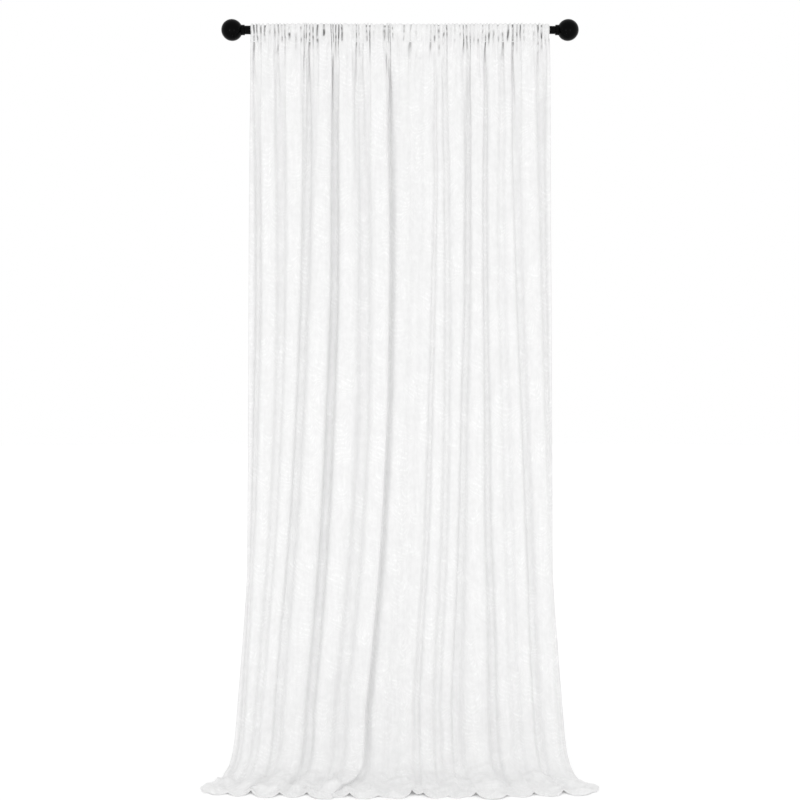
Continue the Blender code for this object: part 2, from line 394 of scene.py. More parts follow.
def clothMesh(name, places, flats, fineRows=0, shade=None):
    # a grid of cloth: places and flats are rows of points, top row first
    # with fineRows the columns come in pairs, and only that many rows use them all
    rows, columns = places.shape[:2]
    step = 2 if fineRows else 1
    cells = (columns - 1) // step
    bm = bmesh.new()
    bmesh.ops.create_grid(bm, x_segments=cells, y_segments=rows - 1, size=0.5)
    bmesh.ops.translate(bm, verts=bm.verts, vec=(0.5, 0.5, 0))
    bmesh.ops.scale(bm, verts=bm.verts, vec=(cells, rows - 1, 1))
    if fineRows:
        lowest = rows - 1 - fineRows - 0.1
        across = [
            edge for edge in bm.edges
            if abs(edge.verts[0].co.y - edge.verts[1].co.y) < 0.1 and edge.verts[0].co.y > lowest
        ]
        bmesh.ops.subdivide_edges(bm, edges=across, cuts=1)
    mesh = bpy.data.meshes.new(name)
    bm.to_mesh(mesh)
    bm.free()
    spots = np.empty(len(mesh.vertices) * 3)
    mesh.vertices.foreach_get("co", spots)
    spots = spots.reshape(-1, 3)
    c = np.rint(spots[:, 0] * step).astype(int)
    r = rows - 1 - np.rint(spots[:, 1]).astype(int)
    mesh.vertices.foreach_set("co", places[r, c].ravel())
    corners = np.empty(len(mesh.loops), int)
    mesh.loops.foreach_get("vertex_index", corners)
    layer = mesh.uv_layers.new(name="flatCloth")
    layer.data.foreach_set("uv", flats[r, c][corners].ravel())
    # painted shade for the slits between the gathers, kept on each point
    if shade is not None:
        dark = mesh.attributes.new("gatherShade", "FLOAT", "POINT")
        dark.data.foreach_set("value", shade[r, c].astype(np.float32))
    mesh.shade_smooth()
    mesh.update()
    return mesh


clothSharpness = 78


def thicken(piece, thickness):
    # the thickness becomes part of the mesh, so that it is drawn together with the cloth
    wall = piece.modifiers.new("Solidify", "SOLIDIFY")
    wall.thickness = thickness
    wall.offset = -1
    wall.use_even_offset = False
    graph = bpy.context.evaluated_depsgraph_get()
    thin = piece.data
    piece.data = bpy.data.meshes.new_from_object(
        piece.evaluated_get(graph), preserve_all_data_layers=True, depsgraph=graph
    )
    piece.modifiers.clear()
    bpy.data.meshes.remove(thin)
    piece.data.name = piece.name
    piece.data.set_sharp_from_angle(angle=math.radians(clothSharpness))
    return piece


def outward(places):
    # unit normals of a grid of points, on the side that faces the room
    across = np.gradient(places, axis=1)
    down = np.gradient(places, axis=0)
    normals = np.cross(down, across)
    return normals / np.maximum(np.linalg.norm(normals, axis=2, keepdims=True), 1e-9)


# The panel: one length of cloth, gathered on the rod, hanging in folds and lying forward on the floor

panel = dict(
    width=1.32,
    columns=320,
    thickness=0.0006,
    gathers=74,
    gatherFade=(0.050, 0.300),
    straightAbove=0.42,
    seamForward=0.0145,
    foldHeights=(0.45, 1.38, 2.0),
    foldDepth=0.82,
    bendShare=0.50,
    reach=0.282,
    steepest=1.95,
    broadness=1.6,
    crumple=0.0095,
    aboveFloor=0.0028,  # the front of the cloth where it lies, with its hems below it
)

# where the hem is puckered up off the floor, and how much
hemNotches = [
    (-0.485, 0.5), (-0.421, 1.0), (-0.339, 0.9), (-0.262, 1.0), (-0.141, 1.1), (-0.060, 0.5),
    (0.034, 1.4), (0.066, 0.9), (0.136, 0.4), (0.213, 1.1), (0.300, 0.5), (0.377, 0.9), (0.462, 1.0),
]

# each fold line: how far right of the middle it is at the three foldHeights,
# then how steeply the cloth runs into it from the left and out of it to the right
folds = [
    (-0.428, -0.440, -0.470, 0.9, 0.9),
    (-0.357, -0.377, -0.425, 0.8, 0.8),
    (-0.278, -0.319, -0.368, 0.95, 0.85),
    (-0.195, -0.220, -0.269, 1.0, 0.95),
    (-0.110, -0.122, -0.178, 0.8, 0.8),
    (-0.031, -0.049, -0.098, 1.4, 0.65),
    (0.050, 0.024, -0.020, 0.5, 0.45),
    (0.103, 0.082, 0.050, 0.75, 0.95),
    (0.136, 0.136, 0.110, 0.8, 0.8),
    (0.202, 0.185, 0.160, 0.9, 0.85),
    (0.257, 0.266, 0.280, 0.95, 0.85),
    (0.305, 0.322, 0.345, 0.65, 0.65),
    (0.347, 0.379, 0.405, 0.9, 0.8),
    (0.425, 0.452, 0.478, 0.9, 0.85),
]

hangs = seamZ - floorZ

# the hem's rounding: how far it draws back towards the corners, and how suddenly
cornerDraw = [(0.030, 2), (0.052, 16)]


def reachAt(x):
    # how far forward the hem lies, less towards the rounded corners
    side = np.clip(np.abs(x) / hemBox[1][0], 0, 1)
    reach = panel["reach"]
    for amount, power in cornerDraw:
        reach = reach - amount * side**power
    return reach


def clothLength(x):
    forward = reachAt(x)
    return hangs + forward - panel["bendShare"] * forward * (2 - math.pi / 2)


longest = float(clothLength(0.0))

outline = dict(
    headingInset=0.001,
    widening=0.012,
    widenedAt=1.9,
    footInset=0.004,
    bellFrom=1.60,
    bellPower=1.15,
    flareFrom=2.08,
    flareShort=0.03,
    flarePower=2.6,
    tuck=0.014,
    tuckRun=0.035,
)


def halfWidth(drop):
    # from the middle to either edge: the panel spreads like a bell near the floor
    spec = outline
    drop = max(drop, 0)
    bell = np.clip((drop - spec["bellFrom"]) / (longest - spec["bellFrom"]), 0, 1) ** spec["bellPower"]
    flareRun = longest - spec["flareShort"] - spec["flareFrom"]
    flare = np.clip((drop - spec["flareFrom"]) / flareRun, 0, 1) ** spec["flarePower"]
    edge = headingHalf - spec["headingInset"] + spec["widening"] * drop / spec["widenedAt"]
    foot = (hemBox[1][0] - spec["footInset"] - edge) * (bell + flare) / 2
    return edge + foot - spec["tuck"] * eased(drop, longest - spec["tuckRun"], longest)


rowPlan = dict(gathered=0.17, gatheredRows=23, crowding=1.25, middleRows=42, foot=0.58, footRows=62)


def rowDrops():
    # close rows at the gathers and at the floor
    plan = rowPlan
    footFrom = longest - plan["foot"]
    top = np.linspace(0, 1, plan["gatheredRows"]) ** plan["crowding"] * plan["gathered"]
    middle = np.linspace(plan["gathered"], footFrom, plan["middleRows"])[1:]
    floor = np.linspace(footFrom, longest, plan["footRows"])[1:]
    return np.concatenate([top, middle, floor])


def sway(share):
    # how the lean builds up from a ridge, at 0, to a fold, at 1: gently at first, so that ridges are broad
    return np.sin(math.pi * share ** panel["broadness"])


swaySamples = 48
turns = sway((np.arange(swaySamples) + 0.5) / swaySamples)


def spread(lean):
    # how much width a leaning stretch of cloth covers, per length
    return np.cos(lean[..., None] * turns).mean(-1)


def rise(lean):
    # and how far forward it comes
    return np.sin(lean[..., None] * turns).mean(-1)


# near the floor, the folds left of the middle sweep out to the left
sweep = dict(centre=-0.16, width=0.12, distance=0.075, start=2.16)
topmost = 0.05  # fold lines keep their places above this
foldsApart = 3.0  # in grains of foldWander, so that each fold wanders by itself


def foldLines(drop):
    # where the folds are at one height, between the panel's two edges
    first, second, third = panel["foldHeights"]
    d = min(max(drop, topmost), third)
    weights = (
        (d - second) * (d - third) / ((first - second) * (first - third)),
        (d - first) * (d - third) / ((second - first) * (second - third)),
        (d - first) * (d - second) / ((third - first) * (third - second)),
    )
    lines = np.array([sum(w * x for w, x in zip(weights, fold)) for fold in folds])
    wander = varied("foldWander", np.arange(len(folds)) * foldsApart, np.full(len(folds), drop))
    lines = (lines + wander) * halfWidth(drop) / halfWidth(d)
    nearSweep = np.exp(-(((lines - sweep["centre"]) / sweep["width"]) ** 2))
    return lines - sweep["distance"] * nearSweep * eased(drop, sweep["start"], longest)


def stretches(drop, strength):
    # the leans and lengths of the stretches from edge to fold, fold to ridge, ridge to fold and so on
    lines = foldLines(drop)
    half = halfWidth(drop)
    into = np.minimum(np.array([fold[3] for fold in folds]) * strength, panel["steepest"])
    outOf = np.minimum(np.array([fold[4] for fold in folds]) * strength, panel["steepest"])
    apart = np.diff(lines)
    firstLean, secondLean = outOf[:-1], into[1:]
    total = spread(firstLean) * rise(secondLean) + spread(secondLean) * rise(firstLean)
    firstLength = apart * rise(secondLean) / total
    secondLength = apart * rise(firstLean) / total
    edges = np.array([lines[0] + half, half - lines[-1]]) / spread(np.array([into[0], outOf[-1]]))
    leans = np.concatenate([[-into[0]], np.stack([firstLean, -secondLean], 1).ravel(), [outOf[-1]]])
    pairs = np.stack([firstLength, secondLength], 1).ravel()
    return leans, np.concatenate([[edges[0]], pairs, [edges[1]]])


strengthRange = (0.02, 3.0)
halvings = 36


def strengthFor(drop, length):
    # how strong the folds are for the cloth to fill its width
    low, high = strengthRange
    for _ in range(halvings):
        middle = (low + high) / 2
        if stretches(drop, middle)[1].sum() < length:
            low = middle
        else:
            high = middle
    return low


def foldRow(drop, taken, step):
    # the lean of the cloth across one row, from its big folds, where the gathers leave cloth for them
    strength = strengthFor(drop, taken.sum() * step)
    leans, lengths = stretches(drop, strength)
    ends = np.concatenate([[0], np.cumsum(lengths)])
    along = (np.cumsum(taken) - taken / 2) / taken.sum() * ends[-1]
    which = np.clip(np.searchsorted(ends, along) - 1, 0, len(lengths) - 1)
    share = np.clip((along - ends[which]) / lengths[which], 0, 1)
    return leans[which] * sway(np.where(leans[which] < 0, share, 1 - share))


smoothing = dict(reach=27, sigma=9.0)


def smoothed(values, ends):
    # one row of values without what is narrower than a fold
    reach = smoothing["reach"]
    window = np.exp(-0.5 * (np.arange(-reach, reach + 1) / smoothing["sigma"]) ** 2)
    padded = np.pad(values, reach, "reflect", reflect_type=ends)
    return np.convolve(padded, window / window.sum(), "valid")


coverRange = (0.40, 0.94)


def gatherLeans(mid, step):
    # the gathers are tightest where the folds below need most cloth, so that threads hang straight
    cover = smoothed(np.cos(foldRow(panel["straightAbove"], np.ones(len(mid)), step)), "even")
    wanted = 2 * halfWidth(0) / panel["width"]
    cover = np.clip(cover + wanted - cover.mean(), *coverRange)
    return np.sqrt(8 * (1 - np.sqrt(cover)))  # a wave of this slope covers the square root of cover


gathering = dict(
    pocketBendFrom=0.02,
    falloff=1.3,
    merged=0.72,
    mergedFrom=0.03,
    mergedRun=2.0,
    mergedExtra=0.05,
    mergedFalloff=1.5,
    mergedPhase=0.7,
    spacingRow=0.3,
    sizeRows=0.5,
)


def gatherWaves(u, drop, leans):
    # slopes of the small gathers, and how much of the width they take up
    spec = gathering
    waves = 2 * math.pi * panel["gathers"] * u / panel["width"]
    drop, level = np.maximum(drop, 0), drop
    phase = waves + varied("gatherSpacing", u, drop * 0 + spec["spacingRow"])
    phase = phase + varied("gatherBend", u, level)
    phase = phase + varied("pocketBend", u, level) * np.clip(-level / spec["pocketBendFrom"], 0, 1)
    short, long = panel["gatherFade"]
    fade = short + (long - short) * (0.5 + 0.5 * varied("gatherLength", u, drop * 0)) ** 2
    uneven = 1 + varied("gatherSize", u, level * spec["sizeRows"])
    fine = leans * uneven * np.exp(-((drop / fade) ** spec["falloff"]))
    run = spec["mergedRun"] * fade + spec["mergedExtra"]
    merged = spec["merged"] * leans * (1 - np.exp(-drop / spec["mergedFrom"]))
    merged = merged * np.exp(-((drop / run) ** spec["mergedFalloff"]))
    slope = fine * np.sin(phase) + merged * np.sin(phase / 2 + spec["mergedPhase"])
    taken = (1 - fine**2 / 4 + fine**4 / 64 - fine**6 / 2304) * (1 - merged**2 / 4)
    return slope, taken


# how deep a slit must be for its painted shade to start and to be full, and how patchy that painted shade
# is on average
slit = dict(shallow=0.0013, deep=0.0034, average=0.55)


def gatherShade(forward, down, strength):
    # painted shade for the slits between the gathers: how dark each point is painted, from how deep it
    # lies in them
    depth = np.array([smoothed(row, "even") for row in forward]) - forward
    u = np.linspace(-panel["width"] / 2, panel["width"] / 2, forward.shape[1])[None] + 0 * down
    patchy = slit["average"] + varied("slitPatch", u, down) + varied("fineSlitPatch", u, down)
    return eased(depth, slit["shallow"], slit["deep"]) * np.clip(patchy, 0, 1) * strength


straightenFrom = 0.6  # of straightAbove: the threads start to follow the folds from here down


def hang(drops):
    # x across and n forward for each row of the hanging cloth, the folds' hollows at n = 0
    count = 2 * panel["columns"]
    u = np.linspace(-panel["width"] / 2, panel["width"] / 2, count + 1)
    mid = (u[1:] + u[:-1]) / 2
    step = u[1] - u[0]
    leans = gatherLeans(mid, step)
    straight = panel["straightAbove"]
    reference = np.concatenate([[0], np.cumsum(np.cos(foldRow(straight, np.ones(count), step)))])
    reference = reference / reference[-1] * 2 - 1
    across, forward = [], []
    for drop in drops:
        slope, taken = gatherWaves(mid, np.full(count, drop), leans)
        lean = foldRow(drop, taken, step)
        x = np.concatenate([[0], np.cumsum(np.cos(lean + slope))]) * step
        n = np.concatenate([[0], np.cumsum(np.sin(lean + slope))]) * step
        n -= np.polyval(np.polyfit(u, n, 1), u) - n.mean()
        x = x / x[-1] * 2 - 1
        x -= smoothed(x - reference, "odd") * (1 - eased(drop, straight * straightenFrom, straight))
        across.append(x * halfWidth(drop))
        forward.append(n)
    return u, np.array(across), np.array(forward)


draping = dict(
    levelAbove=1.6,
    backmost=8,
    floorTurn=0.2,
    calmRun=0.12,
    hemRun=(0.10, 0.004),
    notchWidth=0.014,
    notchBack=0.030,
    notchUp=0.009,
    flatEdge=0.016,
    cornerFrom=0.90,
    cornerUp=0.003,
    cornerCalm=0.6,
    crumpleBias=0.15,
    crumpleTurn=(0.5, 1.3),
    lyingFlatter=0.3,
    lyingHollow=-0.01,
    lyingRise=0.6,
    hemFlatter=0.85,
    slitShade=0.9,
    slitRun=0.030,
)


def drape():
    # the whole front surface of the cloth as rows of points
    spec = draping
    drops = rowDrops()
    u, across, forward = hang(drops)
    drop = np.repeat(drops[:, None], len(u), 1)
    flatU = np.repeat(u[None], len(drops), 0)
    hollow = np.percentile(forward, spec["backmost"], axis=1)[:, None]
    mean = forward.mean(1)[:, None]

    # down the wall side, round the bend and forward on the floor
    bend = panel["bendShare"] * reachAt(across)
    level = spec["levelAbove"]
    stretch = (clothLength(across) - level) / (longest - level)
    length = np.where(drop < level, drop, level + (drop - level) * stretch)
    turn = np.clip((length - (hangs - bend)) / bend, 0, math.pi / 2)
    beyond = np.maximum(length - (hangs - bend) - bend * math.pi / 2, 0)
    ahead = bend * (1 - np.cos(turn)) + beyond
    below = np.where(turn > 0, hangs - bend + bend * np.sin(turn), length)
    floorShare = eased(turn, spec["floorTurn"], math.pi / 2)

    # how far the cloth stands off that path
    small = varied("wrinkle", flatU, drop) + varied("fineWrinkle", flatU, drop)
    uneven = varied("undulation", flatU, drop) * (1 - floorShare) + small
    middle = mean * (1 - floorShare) + hollow * floorShare
    n = (forward - middle) * panel["foldDepth"] + uneven * eased(drop, 0.0, spec["calmRun"])

    # the hem's lobes, its flat edge and corners, and the crumpled foot
    hemFrom, hemFull = spec["hemRun"]
    hemShare = eased(drop, longest - hemFrom, longest - hemFull)
    puckered = sum(size * np.exp(-np.abs(across - x) / spec["notchWidth"]) for x, size in hemNotches)
    lobes = puckered * hemShare
    flatEdge = eased(drop, longest - spec["flatEdge"], longest)
    corner = eased(np.abs(across) / hemBox[1][0], spec["cornerFrom"], 1.0) * floorShare
    crumpled = varied("crumple", flatU, drop) + varied("fineCrumple", flatU, drop) + spec["crumpleBias"]
    crumpled = crumpled * panel["crumple"] * eased(turn, *spec["crumpleTurn"])
    crumpled = crumpled * (1 - flatEdge) * (1 - spec["cornerCalm"] * corner)

    y = -ahead - n * (1 - spec["lyingFlatter"] * floorShare) - panel["seamForward"] * (1 - floorShare)
    y = y + spec["notchBack"] * lobes - crumpled * np.cos(turn)
    lifted = np.maximum(n, spec["lyingHollow"] * (1 - floorShare)) * np.sin(turn)
    z = seamZ - below + lifted * spec["lyingRise"] * (1 - spec["hemFlatter"] * hemShare)
    z = z + np.maximum(crumpled, 0) * np.sin(turn) + spec["notchUp"] * lobes + spec["cornerUp"] * corner
    z = np.maximum(z, floorZ + panel["aboveFloor"])
    # painted shade in the slits between the gathers, fading away below the heading
    darkness = spec["slitShade"] * np.exp(-drop / spec["slitRun"]) * (drop < rowPlan["gathered"])
    places = np.stack([across, y, z], 2)
    return places, np.stack([flatU, drop], 2), drops, gatherShade(forward, drop, darkness)


surface, flats, drops, panelShade = drape()
print("cloth hung:", surface.shape, "longest", round(longest, 3))

fineRows = int(np.searchsorted(drops, rowPlan["gathered"]))
clothPanel = rest(
    clothMesh("curtainCloth", surface, flats, fineRows, panelShade),
    "curtainCloth", "cloth", "curtain_fabric", "curtain", "panel_cloth",
)
thicken(clothPanel, panel["thickness"])
facing = outward(surface)
lastColumn = surface.shape[1] - 1


# Rod pocket: the top of the cloth, turned back over the rod and sewn down below it

rodPocket = dict(
    rows=40,
    wrap=0.135,
    atFront=0.0182,
    atTop=0.0180,
    clear=0.0137,
    layers=0.0013,
    turnedEdge=0.009,
    puckerOnset=8,
    behind=(0.62, 0.84),
    topFlatter=0.25,
    onRodUntil=0.82,
    pressed=0.12,
    shadeStarts=(-0.10, 0.05),
    shadeEnds=(0.46, 0.58),
    slitShade=0.95,
)


def wrapStations(share):
    # a point on the pocket's middle line and the way it faces, as (y, z), for a share of its length
    spec = rodPocket
    low = -seamZ
    slope = math.acos(spec["atFront"] / low)
    straight = math.sqrt(low**2 - spec["atFront"] ** 2)
    sweep = 2 * (math.pi - slope)
    lengths = [straight, sweep * spec["atFront"], straight, spec["turnedEdge"]]
    run = share * sum(lengths)

    def around(angle):
        return np.array([-math.sin(angle), -math.cos(angle)])

    if run < lengths[0]:
        part = run / lengths[0]
        seam = np.array([-panel["seamForward"], seamZ])
        place = seam * (1 - part) + around(slope) * spec["atFront"] * part
        return place, np.array([-1.0, 0]) * (1 - part) + around(slope) * part
    run -= lengths[0]
    if run < lengths[1]:
        angle = slope + sweep * run / lengths[1]
        top = max(0.0, -math.cos(angle)) ** 2
        radius = spec["atFront"] + (spec["atTop"] - spec["atFront"]) * top
        return around(angle) * radius, around(angle)
    run -= lengths[1]
    back = np.array([spec["layers"] - panel["seamForward"], seamZ])
    if run < lengths[2]:
        part = run / lengths[2]
        last = around(2 * math.pi - slope)
        place = last * spec["atFront"] * (1 - part) + back * part
        return place, last * (1 - part) + np.array([1.0, 0]) * part
    return back - np.array([0, run - lengths[2]]), np.array([1.0, 0])


def wrapPocket():
    spec = rodPocket
    shares = np.linspace(0, 1, spec["rows"])
    _, across, forward = hang(-spec["wrap"] * shares)
    u = flats[0, :, 0]
    waves = forward - forward.mean(1, keepdims=True)
    onset = np.minimum(shares * spec["puckerOnset"], 1)[:, None]
    waves += varied("pucker", u[None] + 0 * waves, shares[:, None] * spec["wrap"] + 0 * waves) * onset
    places = np.empty((spec["rows"], len(u), 3))
    for row, share in enumerate(shares):
        place, face = wrapStations(share)
        behind = eased(share, *spec["behind"])
        wave = waves[row] * (1 - behind) - waves[0] * behind
        wave = wave * (1 - spec["topFlatter"] * max(0.0, face[1]) ** 2)
        points = place[None] + face[None] * wave[:, None]
        if share < spec["onRodUntil"]:
            reach = np.maximum(np.linalg.norm(points, axis=1), 1e-6)
            lifted = np.maximum(reach, spec["clear"] + spec["pressed"] * (reach - spec["clear"]))
            points *= (lifted / reach)[:, None]
        places[row, :, 0] = across[row] * (1 - behind) + across[0] * behind
        places[row, :, 1:] = points
    places[0] = surface[0]
    runs = -spec["wrap"] * np.repeat(shares[:, None], len(u), 1)
    # painted shade in the slits between the gathers, on the front of the pocket only
    inFront = eased(shares, *spec["shadeStarts"]) * (1 - eased(shares, *spec["shadeEnds"]))
    shade = gatherShade(forward, runs, spec["slitShade"] * inFront[:, None])
    flat = np.stack([flats[:1, :, 0] + 0 * runs, runs], 2)
    return places, flat, shade


pocketPlaces, pocketFlats, rodShade = wrapPocket()
pocketCloth = rest(
    clothMesh("rodPocketCloth", pocketPlaces[::-1], pocketFlats[::-1], shade=rodShade[::-1]),
    "rodPocketCloth", "cloth", "curtain_fabric", "curtain", "rod_pocket",
)
thicken(pocketCloth, panel["thickness"])
print("pocket wrapped")


# Hems: the cloth's edges, turned back and sewn down

hems = dict(
    side=0.038,
    bottom=0.075,
    behind=0.00085,
    bottomBehind=0.0015,
    thickness=0.0005,
    rounding=(0.0002, 0.0006),
)
columnWidth = panel["width"] / lastColumn
sideColumns = int(round(hems["side"] / columnWidth))
bottomRow = int(np.searchsorted(drops, longest - hems["bottom"]))


def turnBack(edge, inward, places, normals, behind):
    # a strip that starts on the cloth's edge, rounds it and lies behind, one line of points for each step
    out = edge - inward
    out /= np.maximum(np.linalg.norm(out, axis=-1, keepdims=True), 1e-9)
    near, far = hems["rounding"]
    lines = [edge + out * near, edge + out * far - normals[0] * behind / 2]
    for line, normal in zip(places, normals):
        lines.append(line - normal * behind)
    return np.stack(lines)


def sideHem(name, body, side):
    columns = np.arange(0, sideColumns + 1, 2)
    if side > 0:
        columns = lastColumn - columns
    places = surface[:, columns].transpose(1, 0, 2)
    normals = facing[:, columns].transpose(1, 0, 2)
    strip = turnBack(places[0], places[1], places, normals, hems["behind"])
    flat = np.stack([flats[:, c] for c in (columns[0], columns[0], *columns)])
    strip = strip.transpose(1, 0, 2)
    flat = flat.transpose(1, 0, 2)
    if side > 0:
        strip = strip[:, ::-1]
        flat = flat[:, ::-1]
    node = "side_hem_" + name[3:].lower()
    piece = rest(clothMesh(name, strip, flat), name, "cloth", "curtain_fabric", body, node)
    return thicken(piece, hems["thickness"])


def bottomHem():
    rows = np.arange(len(drops) - 1, bottomRow - 1, -1)
    columns = np.arange(0, lastColumn + 1, 2)
    places = surface[rows][:, columns]
    normals = facing[rows][:, columns]
    strip = turnBack(places[0], places[1], places, normals, hems["bottomBehind"])
    flat = flats[np.concatenate([rows[:1], rows[:1], rows])][:, columns]
    piece = rest(
        clothMesh("hemBottom", strip[::-1], flat[::-1]),
        "hemBottom", "cloth", "curtain_fabric", "curtain", "bottom_hem",
    )
    return thicken(piece, hems["thickness"])


hemLeft = sideHem("hemLeft", "curtain", -1)
hemRight = sideHem("hemRight", "leading_edge", 1)
hemBottom = bottomHem()
print("hems turned")


# Stitching: each stitch is a short bead of thread that sinks into the cloth at its ends

stitch = dict(pitch=0.0036, length=0.0029, radius=0.00035, raised=0.2, pocketDepth=0.0021)
batch = 40  # beads are made in small meshes, because adding to a large one is slow


def sewing(name, rows, body, node):
    # rows: pairs of points along the seam and the way the cloth faces there
    whole = bmesh.new()
    bm = bmesh.new()
    mesh = bpy.data.meshes.new(name)
    for line, normals in rows:
        along = np.concatenate([[0], np.cumsum(np.linalg.norm(np.diff(line, axis=0), axis=1))])
        half = stitch["length"] / 2
        pitch = stitch["pitch"]
        for count, centre in enumerate(np.arange(pitch, along[-1] - pitch, pitch)):
            if count % batch == batch - 1:
                bm.to_mesh(mesh)
                whole.from_mesh(mesh)
                bm.clear()
            start, middle, end = (
                Vector([np.interp(at, along, line[:, axis]) for axis in range(3)])
                for at in (centre - half, centre, centre + half)
            )
            face = Vector([np.interp(centre, along, normals[:, axis]) for axis in range(3)])
            run = (end - start).normalized()
            side = run.cross(face).normalized()
            up = side.cross(run)
            radius = stitch["radius"]
            shape = Matrix((run * half, -side * radius, up * radius)).transposed().to_4x4()
            place = Matrix.Translation(middle + up * radius * stitch["raised"])
            bmesh.ops.create_icosphere(bm, subdivisions=1, radius=1, matrix=place @ shape)
    bm.to_mesh(mesh)
    whole.from_mesh(mesh)
    whole.to_mesh(mesh)
    bm.free()
    whole.free()
    mesh.shade_smooth()
    return rest(mesh, name, "thread", "sewing_thread", body, node)


# each seam: its line and the cloth's facing, how far behind its back face is, its body and its node
sideLine = sideColumns - 1
rightLine = lastColumn - sideLine
backDepth = hems["behind"] + hems["thickness"]
seams = dict(
    Pocket=(surface[0], facing[0], stitch["pocketDepth"], "curtain", "pocket_stitching"),
    Left=(surface[:, sideLine], facing[:, sideLine], backDepth, "curtain", "side_stitching_left"),
    Right=(surface[:, rightLine], facing[:, rightLine], backDepth, "leading_edge", "side_stitching_right"),
    Bottom=(surface[bottomRow + 1], facing[bottomRow + 1], None, "curtain", "bottom_stitching"),
)
stitches = {}
for name, (line, normals, depth, body, node) in seams.items():
    rows = [(line, normals)]
    if depth:
        rows.append((line - normals * depth, -normals))
    stitches[name] = sewing("stitches" + name, rows, body, node)
print("stitches sewn")


# Care label: a blank folded tape, caught in the stitching of the left hem

careLabel = dict(
    long=0.022,
    behind=0.0022,
    curl=0.004,
    fold=0.0009,
    thickness=0.00025,
    steps=13,
    rows=14,
    betweenColumns=0.9,
)


def foldedTape():
    spec = careLabel
    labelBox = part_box("care_label")
    wide = labelBox[1][2] - labelBox[0][2]
    top = seamZ - labelBox[1][2]
    steps = spec["steps"]
    out = np.concatenate([np.linspace(0, 1, steps), np.linspace(1, 0, steps)])
    layer = np.concatenate([np.zeros(steps), np.ones(steps)])
    heights = np.linspace(top, top + wide, spec["rows"])
    row = np.interp(heights, drops, np.arange(len(drops)))
    column = sideLine - 1 + out * spec["long"] / columnWidth
    points = np.empty((len(heights), len(out), 3))
    for k, at in enumerate(row):
        for m, over in enumerate(column):
            upper, lower = surface[int(at), int(over)], surface[int(at) + 1, int(over)]
            base = upper * (1 - at % 1) + lower * (at % 1)
            normal = facing[int(at), int(over)]
            lift = spec["behind"] + spec["curl"] * out[m] ** 2 + spec["fold"] * layer[m]
            points[k, m] = base - normal * lift
            points[k, m, 0] += (over % 1) * columnWidth * spec["betweenColumns"]
    runs = np.cumsum(np.r_[0, np.abs(np.diff(out))]) * spec["long"]
    flat = np.stack(np.meshgrid(runs, -heights), 2)
    piece = rest(
        clothMesh("careLabel", points, flat),
        "careLabel", "label", "label_tape", "curtain", "care_label",
    )
    return thicken(piece, spec["thickness"])


label = foldedTape()


# Rod and finials, turned about the rod's axis

turning = dict(steps=72, chamfer=0.0004, weld=0.000005, sharpness=38)


def finished(bm, name, finish, slot, body, *nodes):
    bmesh.ops.remove_doubles(bm, verts=bm.verts, dist=turning["weld"])
    bmesh.ops.recalc_face_normals(bm, faces=bm.faces)
    mesh = bpy.data.meshes.new(name)
    bm.to_mesh(mesh)
    bm.free()
    mesh.shade_smooth()
    mesh.set_sharp_from_angle(angle=math.radians(turning["sharpness"]))
    return rest(mesh, name, finish, slot, body, *nodes)


def turned(name, profile, finish, slot, body, *nodes, side=1, closed=True):
    # profile: pairs of how far along the rod and how far from its axis
    bm = bmesh.new()
    corners = [bm.verts.new((x * side, 0, radius)) for x, radius in profile]
    for first, second in zip(corners, corners[1:]):
        bm.edges.new((first, second))
    if closed:
        bm.edges.new((corners[-1], corners[0]))
    bmesh.ops.spin(
        bm, geom=bm.verts[:] + bm.edges[:], cent=(0, 0, 0), axis=(1, 0, 0),
        angle=2 * math.pi, steps=turning["steps"], use_merge=True,
    )
    return finished(bm, name, finish, slot, body, *nodes)


def tubeWall(start, end, outer, bore):
    # a tube's section with its end edges broken
    c = min(turning["chamfer"], (outer - bore) / 3)
    return [
        (start, outer - c), (start + c, outer), (end - c, outer), (end, outer - c),
        (end, bore + c), (end - c, bore), (start + c, bore), (start, bore + c),
    ]


def quarter(steps):
    # the angles of a quarter circle, from 0
    return [math.pi / 2 * k / steps for k in range(steps + 1)]


tubes = dict(wall=0.0006, innerWall=0.0008)
sleeveShape = dict(edge=0.0002, noseShare=0.35, steps=6)


def rodPieces():
    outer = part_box("rod_outer_tube")
    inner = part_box("rod_inner_tube")
    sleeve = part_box("tube_step_sleeve")
    bore = outer[1][2] - tubes["wall"]
    turned(
        "outerTube", tubeWall(outer[0][0], outer[1][0], outer[1][2], bore),
        "rod", "rod_paint", "rod", "rod_outer_tube",
    )
    turned(
        "innerTube", tubeWall(inner[0][0], inner[1][0], inner[1][2], inner[1][2] - tubes["innerWall"]),
        "rod", "rod_paint", "rod_extension", "rod_inner_tube",
    )
    (left, _, _), (right, _, wide) = sleeve
    edge = sleeveShape["edge"]
    nose = (right - left) * sleeveShape["noseShare"]
    section = [(left, wide - edge), (left + edge, wide)]
    for angle in quarter(sleeveShape["steps"]):
        thick = edge + (wide - bore - edge) * math.cos(angle)
        section.append((right - nose + nose * math.sin(angle), bore + thick))
    section += [(right, bore), (left, bore)]
    turned("stepSleeve", section, "sleeve", "black_plastic", "rod", "tube_step_sleeve")


finial = dict(
    rim=0.0011,
    rimSteps=5,
    stud=0.0040,
    threadRoom=0.0003,
    collarGap=0.0003,
    collarWaist=(0.55, 0.0003),
    collarEdge=[(0.0009, 0.0001), (0.0002, 0.0007)],
    dishEdge=0.0016,
    dishGap=0.0004,
    dishSteps=9,
    studHole=0.0183,
    ballSteps=44,
    pitch=0.00125,
    crestRoom=0.00005,
    threadDepth=0.0006,
    threadSteps=20,
)
insertShape = dict(countersink=0.0008, edge=0.0006)

facetSag = 0.00007  # how far outside its faceted stand-in the true sphere lies
ballRadius = ballBox[1][2] + facetSag
ballCentre = ballBox[1][0] - ballRadius


